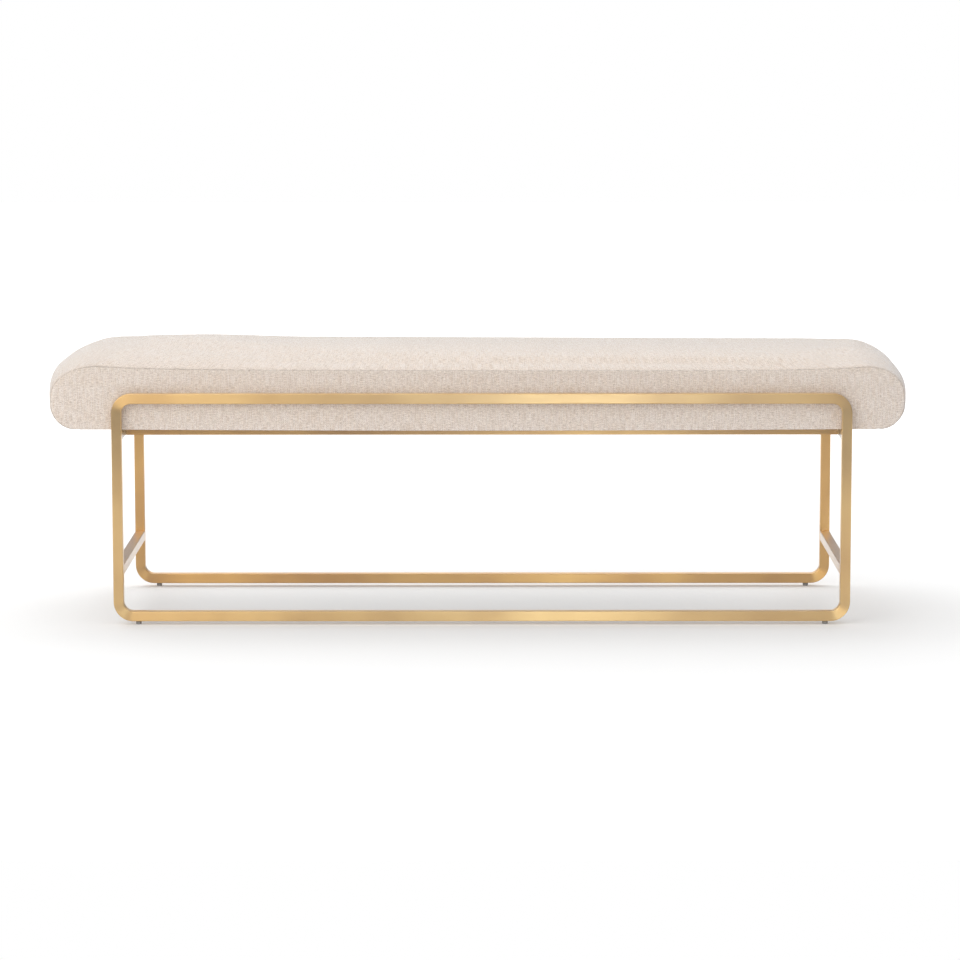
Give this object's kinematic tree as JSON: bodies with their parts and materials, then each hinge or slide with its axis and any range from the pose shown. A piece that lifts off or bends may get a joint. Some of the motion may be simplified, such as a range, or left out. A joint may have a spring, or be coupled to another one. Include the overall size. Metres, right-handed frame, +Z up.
{
  "type": "sled bench",
  "caption": "Long upholstered bench seat held between bent square-tube loops in brushed brass finish, with low side stretchers and levelling feet.",
  "frame": {"origin": "on the floor, under the middle of the bench", "axes": "+X along the seat to the right as seen from the front, +Y from front to back, +Z up"},
  "size_m": [1.5392, 0.438, 0.4872],
  "materials": {
    "brass_tube": "satin",
    "thread_steel": "satin",
    "glide_plastic": "matte",
    "plywood": "matte",
    "zinc_fastener": "satin",
    "foam": "matte",
    "linen_cover": "matte",
    "dust_cloth": "matte",
    "staple_wire": "satin"
  },
  "bodies": {
    "bench": {"front_loop": "brass_tube", "rear_loop": "brass_tube", "left_stretcher": "brass_tube", "right_stretcher": "brass_tube", "left_seat_bearer": "brass_tube", "right_seat_bearer": "brass_tube", "front_seat_rail": "brass_tube", "rear_seat_rail": "brass_tube", "foot_bushes": "thread_steel", "seat_board": "plywood", "tee_nuts": "zinc_fastener", "seat_bolts": "zinc_fastener", "seat_washers": "zinc_fastener", "foam_core": "foam", "top_band": "linen_cover", "front_panel": "linen_cover", "rear_panel": "linen_cover", "dust_cover": "dust_cloth", "front_hem_staples": "staple_wire", "rear_hem_staples": "staple_wire", "left_hem_staples": "staple_wire", "right_hem_staples": "staple_wire"},
    "front_left_foot": {"front_left_foot_glide": "glide_plastic", "front_left_foot_stud": "thread_steel"},
    "front_right_foot": {"front_right_foot_glide": "glide_plastic", "front_right_foot_stud": "thread_steel"},
    "rear_left_foot": {"rear_left_foot_glide": "glide_plastic", "rear_left_foot_stud": "thread_steel"},
    "rear_right_foot": {"rear_right_foot_glide": "glide_plastic", "rear_right_foot_stud": "thread_steel"}
  },
  "joints": [
    {"name": "front_left_foot_screw", "type": "slide", "parent": "bench", "child": "front_left_foot", "axis": [0, 0, -1], "range_m": [0, 0.008]},
    {"name": "front_right_foot_screw", "type": "slide", "parent": "bench", "child": "front_right_foot", "axis": [0, 0, -1], "range_m": [0, 0.008]},
    {"name": "rear_left_foot_screw", "type": "slide", "parent": "bench", "child": "rear_left_foot", "axis": [0, 0, -1], "range_m": [0, 0.008]},
    {"name": "rear_right_foot_screw", "type": "slide", "parent": "bench", "child": "rear_right_foot", "axis": [0, 0, -1], "range_m": [0, 0.008]}
  ]
}
